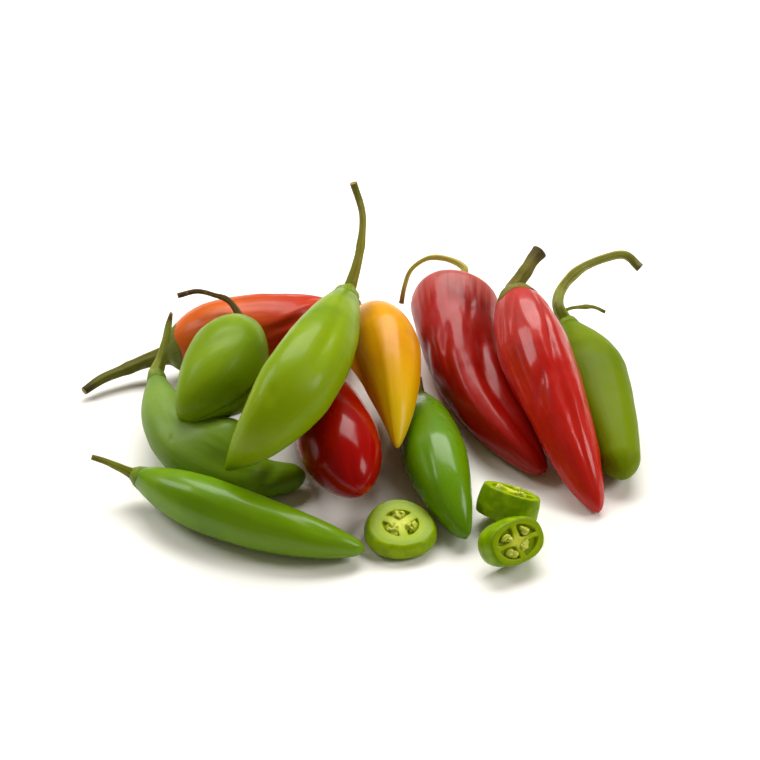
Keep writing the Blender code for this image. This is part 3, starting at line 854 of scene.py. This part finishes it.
def make_skin_relief():
    tree, given, leave = new_group("Skin relief", "ShaderNodeTree",
                                   [("Crinkle", "Float", 0.3)], [("Height", "Float")])
    along, rolled = along_and_around(tree, turns=2.0, length=5.0)
    near_crown = ramp(tree, along, 0.0, CRINKLE_REACH, 1.0, CRINKLE_LEFT)
    crinkle = noise(tree, object_place(tree), CRINKLE_SCALE, 3.0) * given["Crinkle"]
    feed(leave.inputs["Height"], noise(tree, rolled, WAVE_SCALE, 2.0) + crinkle * near_crown)
    return tree


living_skin = make_living_skin()
skin_relief = make_skin_relief()
print("groups:", [group.name for group in bpy.data.node_groups])

# %% A material around a group
def new_material(name, rough=0.3, coat=0.0, coat_rough=0.1, shine=0.5):
    """A Principled material with plain gloss values, its tree and its shader."""
    material = bpy.data.materials.new(name)
    material.use_nodes = True
    shader = material.node_tree.nodes["Principled BSDF"]
    shader.inputs["Roughness"].default_value = rough
    shader.inputs["Specular IOR Level"].default_value = shine
    shader.inputs["Coat Weight"].default_value = coat
    shader.inputs["Coat Roughness"].default_value = coat_rough
    return material, material.node_tree, shader


def bumped(tree, shader, height, depth):
    """Height in the skin, as light sees it. Depth is in mm."""
    bump = add(tree, "ShaderNodeBump", {"Strength": 1.0, "Distance": depth * MM,
                                        "Height": height})
    feed(shader.inputs["Normal"], out(tree, bump, "Normal"))

# %% What makes one skin differ
@dataclass
class Skin:
    main: tuple
    shade: tuple
    blush: tuple = None        # colour it turns to along its length
    blush_from: float = 0.2
    blush_to: float = 0.9
    # The pale crown colour is partly a wax bloom and partly a painted sheen of light.
    bloom_and_sheen: tuple = (200, 150, 140)
    bloom_and_sheen_amount: float = 0.0
    bloom_and_sheen_reach: float = 0.25
    gloss: tuple = (0.26, 0.40)
    shine: float = 0.14
    coat: float = 0.15
    crinkle: float = 0.15
    relief: float = 0.10       # mm

# %% The eleven skins
SKINS = {
    "orange": Skin((196, 88, 2), (176, 66, 0), (172, 34, 4), 0.15, 0.60,
                   bloom_and_sheen=(210, 108, 36), bloom_and_sheen_amount=0.12, bloom_and_sheen_reach=1.2,
                   gloss=(0.32, 0.46), coat=0.10, crinkle=0.4, relief=0.14),
    "small": Skin((114, 142, 0), (90, 120, 0), gloss=(0.4, 0.52), coat=0.05, shine=0.1),
    "lime": Skin((124, 150, 0), (98, 130, 0), gloss=(0.34, 0.46), coat=0.10, shine=0.1),
    "yellow": Skin((218, 154, 0), (200, 128, 0), (208, 172, 0), 0.50, 0.90,
                   gloss=(0.32, 0.42), coat=0.12),
    "scarlet": Skin((146, 3, 0), (116, 1, 0), gloss=(0.16, 0.26), coat=0.28, shine=0.06),
    "hooked": Skin((104, 136, 2), (82, 116, 0), bloom_and_sheen=(140, 166, 96), bloom_and_sheen_amount=0.30,
                   bloom_and_sheen_reach=0.9, gloss=(0.38, 0.5), coat=0.06),
    "front": Skin((104, 142, 0), (80, 120, 0), gloss=(0.28, 0.4), coat=0.2),
    "middle": Skin((90, 132, 0), (66, 106, 0), gloss=(0.24, 0.36), coat=0.25),
    "crimson": Skin((150, 14, 4), (108, 2, 0), bloom_and_sheen=(196, 106, 98), bloom_and_sheen_amount=0.65,
                    bloom_and_sheen_reach=0.28, gloss=(0.30, 0.44), coat=0.14, crinkle=0.5, relief=0.18),
    "ruby": Skin((180, 24, 12), (142, 4, 2), bloom_and_sheen=(200, 86, 80), bloom_and_sheen_amount=0.3,
                 bloom_and_sheen_reach=0.5, gloss=(0.26, 0.40), coat=0.3, crinkle=0.9, relief=0.2),
    "spring": Skin((104, 124, 0), (84, 106, 0), gloss=(0.46, 0.58), coat=0.03, shine=0.06),
}

# %% Build the skins
def skin_material(name, skin):
    material, tree, shader = new_material(f"{name}_skin", coat=skin.coat, coat_rough=0.14,
                                          shine=skin.shine)
    group = add(tree, "ShaderNodeGroup", node_tree=living_skin, inputs={
        "Main": colour(*skin.main), "Shade": colour(*skin.shade),
        "Blush": colour(*(skin.blush or skin.main)), "Blush Start": skin.blush_from,
        "Blush End": skin.blush_to, "Bloom": colour(*skin.bloom_and_sheen),
        "Bloom Amount": skin.bloom_and_sheen_amount, "Bloom Reach": skin.bloom_and_sheen_reach,
        "Gloss Low": skin.gloss[0], "Gloss High": skin.gloss[1]})
    feed(shader.inputs["Base Color"], out(tree, group, "Colour"))
    feed(shader.inputs["Roughness"], out(tree, group, "Roughness"))
    relief = add(tree, "ShaderNodeGroup", {"Crinkle": skin.crinkle}, node_tree=skin_relief)
    bumped(tree, shader, out(tree, relief, "Height"), skin.relief)
    return material


skin_materials = {name: skin_material(name, skin) for name, skin in SKINS.items()}
print(len(skin_materials), "skins")

# %% [markdown]
# ## Colours of a stalk
#
# A stalk is matt, ribbed and fibrous. It is greenest at the calyx, dulls to olive on the way,
# and dries to brown at the cut, where the pale pith shows.

# %% Stalk materials
FIBRE_SCALE = 2.4
STALK_PATCH_SCALE = 180.0      # patches about 6 mm across
STALK_DRIFT = 0.12             # how far they push the edges between colours
GREEN_FROM = 0.55              # where the green of the calyx begins to show
DARK_FIBRE = (0.55, 0.55, 0.45)                # times the colour beside it
FIBRE_SHADE = 0.6              # how dark the fibres are drawn
PALE_PATCH = (0.6, 0.58, 0.35, 1.0)
PALE_SHARE = 0.25
STALK_ROUGH = (0.45, 0.65)
PITH = (150, 130, 80)
PITH_REACH = 0.004             # the cut face, as a share of the way along the stalk


def stalk_material(name, leaf, stem, dry, dry_reach):
    """The colours of the calyx, the stalk and its dry end, and how far the dry end reaches."""
    material, tree, shader = new_material(f"{name}_stalk_skin", shine=0.2)
    along, rolled = along_and_around(tree, turns=9.0, length=6.0)
    fibre = noise(tree, rolled, FIBRE_SCALE, 4.0)
    patches = noise(tree, object_place(tree), STALK_PATCH_SCALE, 3.0)
    warped = along + (patches - 0.5) * STALK_DRIFT
    skin = blend(tree, ramp(tree, warped, GREEN_FROM, 1.0), colour(*stem), colour(*leaf))
    skin = blend(tree, ramp(tree, warped, 0.0, dry_reach, 1.0, 0.0), skin, colour(*dry))
    dark = skin.vector("MULTIPLY", DARK_FIBRE)
    skin = blend(tree, ramp(tree, fibre, *MANY) * FIBRE_SHADE, skin, dark)
    pale = blend(tree, ramp(tree, patches, *FEW) * PALE_SHARE, skin, PALE_PATCH)
    pith = ramp(tree, along, 0.0, PITH_REACH, 1.0, 0.0)
    feed(shader.inputs["Base Color"], blend(tree, pith, pale, colour(*PITH)))
    feed(shader.inputs["Roughness"], ramp(tree, fibre, *EVEN, *STALK_ROUGH))
    bumped(tree, shader, fibre, depth=0.12)
    return material

# %% The eleven stalks
STALKS = {
    "orange": ((92, 104, 6), (96, 96, 14), (60, 50, 10), 0.14),
    "small": ((84, 106, 4), (92, 72, 14), (80, 56, 16), 0.45),
    "lime": ((110, 136, 4), (164, 160, 66), (108, 108, 22), 0.35),
    "yellow": ((140, 120, 10), (120, 110, 40), (90, 70, 30), 0.2),
    "scarlet": ((110, 110, 30), (120, 112, 50), (110, 96, 50), 0.2),
    "hooked": ((98, 126, 6), (156, 162, 60), (100, 56, 30), 0.25),
    "front": ((92, 122, 2), (128, 134, 24), (110, 106, 24), 0.35),
    "middle": ((84, 116, 4), (110, 90, 20), (90, 70, 20), 0.3),
    "crimson": ((186, 166, 82), (178, 166, 78), (128, 86, 40), 0.18),
    "ruby": ((112, 104, 14), (110, 102, 22), (74, 62, 16), 0.30),
    "spring": ((104, 122, 8), (142, 144, 52), (86, 88, 18), 0.20),
}
stalk_materials = {name: stalk_material(name, *row) for name, row in STALKS.items()}
print(len(stalk_materials), "stalk materials")

# %% Make the chillies
for row in CHILLIES:
    fruit = make_fruit(row, skin_materials[row.name])
    stalk = make_stalk(row, stalk_materials[row.name])
    if row.side_stalk:
        make_side_stalk(row, stalk_materials[row.name])
    sizes = [round(volume(piece.data) * 1e6, 2) for piece in (fruit, stalk)]
    print(row.name, "fruit and stalk", sizes, "cm3", len(fruit.data.polygons), "faces")

# %% [markdown]
# ## The cut slices
#
# A slice is a ring of thick flesh with thin walls that part its chambers, and flat seeds hang
# in the chambers from the middle. Its edges are soft: a knife leaves no bevel in wet flesh.
# Beveling every crossing of wall and septum is slow work. So the slice is cut roughly from a
# drum by a Boolean, turned into one even skin by a voxel remesh, and smoothed. A web of soft
# tissue closes each chamber a little below the cut, and the seeds sit on it.

# %% Sizes of the slices
@dataclass
class Slice:
    name: str
    centre: tuple
    tilt: float                # how far its axis leans off +Z
    lean: float                # turn of that lean about +Z, from +X
    radius: float
    height: float
    squash: float              # how flat it is pressed across, as a share of round
    chambers: int
    turn: float                # turn of the first chamber about the slice's own axis
    wall: float                # thickness of the outer wall
    septum: float              # thickness of the walls between chambers
    profile: list              # radius at rising heights, as shares of the radius and height
    seeds: int                 # seeds in each chamber


SLICES = [
    Slice("flat_slice", (6.4, -46.5, 4.3), 6, -60, 11.7, 6.2, 1.0, 3, 40, 4.4, 2.8,
          [(-0.5, 0.90), (-0.2, 1.0), (0.15, 0.99), (0.4, 0.93), (0.5, 0.87)], 12),
    Slice("front_slice", (40.9, -57.2, 8.5), 54, -58, 10.4, 9, 0.71, 4, 45, 2.4, 1.9,
          [(-0.5, 0.95), (-0.2, 1.0), (0.2, 1.0), (0.4, 0.97), (0.5, 0.93)], 3),
    Slice("back_slice", (41.5, -38.4, 8.0), 29, 58, 10.4, 9.6, 0.76, 3, 0, 2.4, 1.8,
          [(-0.5, 0.95), (-0.2, 1.0), (0.2, 0.98), (0.5, 0.93)], 3),
]
SLICE_SIDES = 96
LOBE_DEPTH = 0.03              # how far the slice bulges over each chamber
CHAMBER_BACK = 13              # points along the round back of a chamber
CHAMBER_POINT = 0.4            # how far the point of a chamber stands off the walls' meeting
WEB_DEPTH = 1.2                # how far the web that holds the seeds lies below the cut, mm
WEB_THICK = 1.2
VOXEL = 0.28                   # mm
SMOOTHING = 9

# %% The outline of a slice and its chambers
def polar(piece, radius, angle, height):
    """A point of a slice, from its axis, with the slice pressed flat along its own X."""
    return Vector((piece.squash * radius * math.cos(angle), radius * math.sin(angle), height))


def middles(piece):
    """The angle of each chamber."""
    first = math.radians(piece.turn)
    return [first + 2 * math.pi * i / piece.chambers for i in range(piece.chambers)]


def lobe(piece, angle):
    """How far the outline bulges at an angle, times its plain radius."""
    return 1 + LOBE_DEPTH * math.cos(piece.chambers * (angle - math.radians(piece.turn)))


def chamber_reach(piece):
    """How far from the axis the chamber walls meet, and how far the round backs lie."""
    walls_meet = piece.septum / 2 / math.sin(math.pi / piece.chambers)
    return walls_meet, piece.radius * piece.profile[-1][1] - piece.wall


def chamber(piece, middle, height):
    """A wedge with a round back: its straight sides leave an even septum on each side."""
    walls_meet, round_back = chamber_reach(piece)
    spread = math.pi / piece.chambers - math.asin(piece.septum / 2 / round_back)
    points = [polar(piece, walls_meet + CHAMBER_POINT, middle, height)]
    for i in range(CHAMBER_BACK):
        share = 2 * i / (CHAMBER_BACK - 1) - 1
        points.append(polar(piece, round_back, middle + spread * share, height))
    return points


def drum(name, rings):
    """A closed solid from rings of points; a ring of one point is a pole."""
    mesh = bmesh.new()
    rows = [[mesh.verts.new(point) for point in ring] for ring in rings]
    for a, b in zip(rows, rows[1:]):
        for i in range(max(len(a), len(b))):
            corners = [a[i % len(a)], a[(i + 1) % len(a)], b[(i + 1) % len(b)], b[i % len(b)]]
            mesh.faces.new(dict.fromkeys(corners))
    data = bpy.data.meshes.new(name)
    mesh.to_mesh(data)
    mesh.free()
    return put_in_scene(name, data)

# %% Cut, remesh and smooth
def outer_radius(piece, angle, height):
    """How far the skin lies from the axis at an angle and a height."""
    levels, shares = zip(*piece.profile)
    share = np.interp(height / piece.height, levels, shares)
    return piece.radius * share * lobe(piece, angle)


def cut_slice(piece):
    """A drum, less the room above and below the web in each chamber."""
    angles = [2 * math.pi * i / SLICE_SIDES for i in range(SLICE_SIDES)]
    low, high = (piece.profile[end][0] * piece.height for end in (0, -1))
    rings = [[Vector((0, 0, low))]]
    for level, share in piece.profile:
        rings.append([polar(piece, piece.radius * share * lobe(piece, angle), angle,
                            level * piece.height) for angle in angles])
    rings.append([Vector((0, 0, high))])
    solid = drum(f"{piece.name}_flesh", rings)
    cutters = []
    web_top = piece.height / 2 - WEB_DEPTH
    spans = ((-piece.height, web_top - WEB_THICK), (web_top, piece.height))
    for number, (middle, span) in enumerate(itertools.product(middles(piece), spans)):
        ends = [chamber(piece, middle, height) for height in span]
        poles = [[sum(end, Vector()) / len(end)] for end in ends]
        cutter = drum(f"cutter_{number}", [poles[0], *ends, poles[1]])
        cutters.append(cutter)
        cut = solid.modifiers.new(cutter.name, "BOOLEAN")
        cut.object = cutter
    remesh = solid.modifiers.new("even skin", "REMESH")
    remesh.mode = "VOXEL"
    remesh.voxel_size = VOXEL
    remesh.use_smooth_shade = True
    smooth = solid.modifiers.new("soft edges", "SMOOTH")
    smooth.iterations = SMOOTHING
    apply_modifiers(solid)
    for cutter in cutters:
        bpy.data.objects.remove(cutter)
    return solid

# %% Tell skin from flesh, and put the slice in its place
def finish_slice(piece, material):
    """Notes at each point how deep it lies under the skin, how far out, and how far sunk."""
    solid = cut_slice(piece)
    mesh = solid.data
    notes = {"depth": [], "middle": [], "sunk": []}
    for vertex in mesh.vertices:
        x, y, z = vertex.co
        x /= piece.squash
        notes["depth"].append(outer_radius(piece, math.atan2(y, x), z) - math.hypot(x, y))
        notes["middle"].append(math.hypot(x, y) / piece.radius)
        notes["sunk"].append(piece.height / 2 - abs(z))
    for name, values in notes.items():
        mesh.attributes.new(name, "FLOAT", "POINT").data.foreach_set("value", values)
    mesh.materials.append(material)
    mesh.transform(slice_place(piece))
    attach(solid, "root")
    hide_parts(piece.name)
    return solid


def slice_place(piece):
    """From a slice's own millimetres to its place in the heap, in metres."""
    turn = Euler((0, math.radians(piece.tilt), math.radians(piece.lean))).to_matrix().to_4x4()
    shift = Matrix.Translation((Vector(piece.centre) - HEAP_MIDDLE) * MM)
    return shift @ turn @ Matrix.Scale(MM, 4)

# %% The seed tree
# Flat seeds hang in the chambers. The tree sets one seed on each point it is given, turns it
# by chance, and makes all of them one mesh.
SEED_WIDTH = 0.82              # at the middle of its length, as a share of that length
SEED_TAPER = 0.35              # how much the width grows from one end to the other
SEED_LENGTH, SEED_THICK = 3.3, 1.5     # mm
ANY_TURN = (6.3, 6.3, 6.3)     # just over a full turn about each axis, in radians


def make_seed_tree():
    tree, given, leave = new_group("Seeds on points", "GeometryNodeTree", [
        ("Points", "Geometry"), ("Length", "Float", 0.003), ("Thickness", "Float", 0.0008),
        ("Seed", "Int", 1), ("Material", "Material"),
    ], [("Geometry", "Geometry")])
    ball = add(tree, "GeometryNodeMeshUVSphere", {"Segments": 20, "Rings": 12, "Radius": 0.5})
    place = out(tree, add(tree, "GeometryNodeInputPosition"))
    axes = add(tree, "ShaderNodeSeparateXYZ", {0: place})
    width = out(tree, axes, "X") * SEED_TAPER + SEED_WIDTH
    flat = add(tree, "ShaderNodeCombineXYZ", {
        "X": out(tree, axes, "X") * given["Length"],
        "Y": out(tree, axes, "Y") * given["Length"] * width,
        "Z": out(tree, axes, "Z") * given["Thickness"]})
    seed = add(tree, "GeometryNodeSetPosition",
               {"Geometry": out(tree, ball, "Mesh"), "Position": out(tree, flat)})
    smooth = add(tree, "GeometryNodeSetShadeSmooth", {"Geometry": out(tree, seed)})
    chance = add(tree, "FunctionNodeRandomValue", {
        "Min": (0.0, 0.0, 0.0), "Max": ANY_TURN, "Seed": given["Seed"]},
        data_type="FLOAT_VECTOR")
    points = add(tree, "GeometryNodeMeshToPoints", {"Mesh": given["Points"]})
    spread = add(tree, "GeometryNodeInstanceOnPoints", {
        "Points": out(tree, points), "Instance": out(tree, smooth),
        "Rotation": out(tree, chance)})
    hand_on(tree, leave, out(tree, spread), given["Material"])
    return tree


seed_tree = make_seed_tree()
print("seed tree:", len(seed_tree.nodes), "nodes")

# %% Scatter the seeds
CHANCE_SEED = 11
SEED_OUT = (0.30, 0.75)        # from where the walls meet to the round back, as shares
SEED_ASIDE = (-0.4, 0.4)       # off the middle of the chamber, in radians
SEED_LIFT = (0.3, 1.1)         # above the web, mm


def make_seeds(piece, material):
    chance = np.random.default_rng(CHANCE_SEED)
    walls_meet, round_back = chamber_reach(piece)
    web = piece.height / 2 - WEB_DEPTH
    places = []
    for middle in middles(piece):
        for _ in range(piece.seeds):
            radius = walls_meet + chance.uniform(*SEED_OUT) * (round_back - walls_meet)
            angle = middle + chance.uniform(*SEED_ASIDE)
            places.append(polar(piece, radius, angle, web + chance.uniform(*SEED_LIFT)))
    start = bpy.data.meshes.new(f"{piece.name}_places")
    start.from_pydata(places, [], [])
    start.transform(slice_place(piece))
    seeds = grow(f"{piece.name}_seeds", seed_tree, start, {
        "Length": SEED_LENGTH * MM, "Thickness": SEED_THICK * MM, "Seed": piece.chambers,
        "Material": material})
    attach(seeds, "root")

# %% Flesh and seed materials
WALL_OUTSIDE, WALL_INSIDE = (128, 154, 0), (150, 172, 4)
PALE_MIDDLE = (200, 208, 66)
FLESH_FIBRE = (120, 146, 8)
FLESH_PATCHES = 260.0          # noise cells per metre
FLESH_FIBRES = 900.0
FIBRE_SHARE = 0.3
FLESH_ROUGH = (0.25, 0.42)
SKIN_DEPTH, SKIN_DRIFT = (0.25, 0.55), 0.15    # how deep skin turns to flesh, in mm, and
WALL_DEPTH, WALL_DRIFT = (0.6, 3.2), 1.2       # the wall pales, and how far both wander
MIDDLE_FADE = (0.5, 0.1)       # where the pale middle begins and is full, in slice radii
CHAMBER_DEPTH = (0.3, 1.8)     # where the chamber's own colour takes over, mm below the cut
SEED_DARK, SEED_PALE = (160, 176, 14), (190, 196, 56)
SEED_PATCHES = 700.0


def flesh_material(name, dark_skin, light_skin, chamber):
    material, tree, shader = new_material(name, rough=0.4, coat=0.06, coat_rough=0.25,
                                          shine=0.08)
    depth, middle, sunk = (
        out(tree, add(tree, "ShaderNodeAttribute", attribute_name=note), "Fac")
        for note in ("depth", "middle", "sunk"))
    place = object_place(tree)
    patches = noise(tree, place, FLESH_PATCHES, 3.0)
    fibres = noise(tree, place, FLESH_FIBRES, 3.0)
    wall = blend(tree, ramp(tree, depth + (patches - 0.5) * WALL_DRIFT, *WALL_DEPTH),
                 colour(*WALL_OUTSIDE), colour(*WALL_INSIDE))
    pith = blend(tree, ramp(tree, middle, *MIDDLE_FADE), wall, colour(*PALE_MIDDLE))
    inner = blend(tree, ramp(tree, sunk, *CHAMBER_DEPTH), pith, colour(*chamber))
    flesh = blend(tree, ramp(tree, fibres, *SOME) * FIBRE_SHARE, inner, colour(*FLESH_FIBRE))
    skin = blend(tree, ramp(tree, patches, *MANY), colour(*dark_skin), colour(*light_skin))
    edge = ramp(tree, depth + (fibres - 0.5) * SKIN_DRIFT, *SKIN_DEPTH, 1.0, 0.0)
    feed(shader.inputs["Base Color"], blend(tree, edge, flesh, skin))
    feed(shader.inputs["Roughness"], ramp(tree, patches, *EVEN, *FLESH_ROUGH))
    bumped(tree, shader, fibres, depth=0.10)
    return material


def seed_material():
    material, tree, shader = new_material("seed", rough=0.4, coat=0.2, coat_rough=0.2)
    patches = noise(tree, object_place(tree), SEED_PATCHES, 3.0)
    feed(shader.inputs["Base Color"], blend(tree, patches, colour(*SEED_DARK),
                                            colour(*SEED_PALE)))
    bumped(tree, shader, patches, depth=0.05)
    return material

# %% Make the slices
pale = flesh_material("pale_slice", (124, 154, 2), (146, 174, 10), (136, 160, 2))
green = flesh_material("green_slice", (104, 136, 0), (132, 162, 2), (108, 138, 0))
flesh_of = {"flat_slice": pale, "front_slice": green, "back_slice": green}
seed_paint = seed_material()
for piece in SLICES:
    solid = finish_slice(piece, flesh_of[piece.name])
    make_seeds(piece, seed_paint)
    print(piece.name, round(volume(solid.data) * 1e6, 2), "cm3", len(solid.data.polygons),
          "faces, and", piece.seeds * piece.chambers, "seeds")

# %% [markdown]
# ## Floor, light and camera
#
# The heap lies on a white table under three soft boxes. The widest hangs high behind it: it
# brightens the tops and leaves the fronts and the ground before them in soft shadow. The smaller
# two, on the right and on the left, draw the long pale sheens. The room adds a little warm light.

# %% The floor
FLOOR_HALF = 3.0               # metres
TABLE_WHITE = (0.93, 0.915, 0.88, 1.0)
floor_mesh = bpy.data.meshes.new("floor")
floor_mesh.from_pydata([(x * FLOOR_HALF, y * FLOOR_HALF, 0) for x, y in
                        ((-1, -1), (1, -1), (1, 1), (-1, 1))], [], [(0, 1, 2, 3)])
floor = put_in_scene("floor", floor_mesh)
floor_paint, _, floor_shader = new_material("white_table", rough=0.6)
floor_shader.inputs["Base Color"].default_value = TABLE_WHITE
floor_mesh.materials.append(floor_paint)
print("floor:", 2 * FLOOR_HALF, "m across")

# %% The lights
AIM = (0, 0, 0.03)             # all the boxes face the middle of the heap
NEUTRAL, WARM = (1.0, 1.0, 1.0), (1.0, 0.99, 0.97)
ROOM_COLOUR, ROOM_STRENGTH = (1.0, 0.86, 0.68, 1.0), 0.20


def soft_box(name, place, width, height, power, tint):
    """An even rectangle of light. Sizes are in metres and the power in watts."""
    light = bpy.data.lights.new(name, "AREA")
    light.shape = "RECTANGLE"
    light.size = width
    light.size_y = height
    light.energy = power
    light.color = tint
    box = put_in_scene(name, light)
    box.location = place
    box.rotation_euler = (Vector(AIM) - Vector(place)).to_track_quat("-Z", "Y").to_euler()


soft_box("window_right", (0.95, -0.12, 0.72), 0.42, 0.50, 6.0, WARM)
soft_box("box_left", (-0.85, 0.30, 0.80), 0.50, 0.50, 6.0, NEUTRAL)
soft_box("box_behind", (0.05, 0.85, 1.15), 1.30, 0.80, 27.0, WARM)
world = bpy.data.worlds.new("studio")
world.use_nodes = True
room = world.node_tree.nodes["Background"]
room.inputs["Color"].default_value = ROOM_COLOUR
room.inputs["Strength"].default_value = ROOM_STRENGTH
bpy.context.scene.world = world
bpy.context.scene.view_settings.view_transform = "Standard"
print("lights:", [light.name for light in bpy.data.lights])

# %% The camera
ELEVATION = math.radians(35)
DISTANCE = 0.55                # metres
LENS = 78.2                    # mm, on a 36 mm sensor
LOOK_AT = Vector((0, 0, 30))   # in the heap's own numbers, mm
NEAREST = 0.02                 # metres
camera_data = bpy.data.cameras.new("camera")
camera_data.lens = LENS
camera_data.clip_start = NEAREST
camera = put_in_scene("camera", camera_data)
back = Vector((0, -math.cos(ELEVATION), math.sin(ELEVATION)))
camera.location = (LOOK_AT - HEAP_MIDDLE) * MM + DISTANCE * back
camera.rotation_euler = (-back).to_track_quat("-Z", "Y").to_euler()
bpy.context.scene.camera = camera
print("camera", [round(x, 3) for x in camera.location])
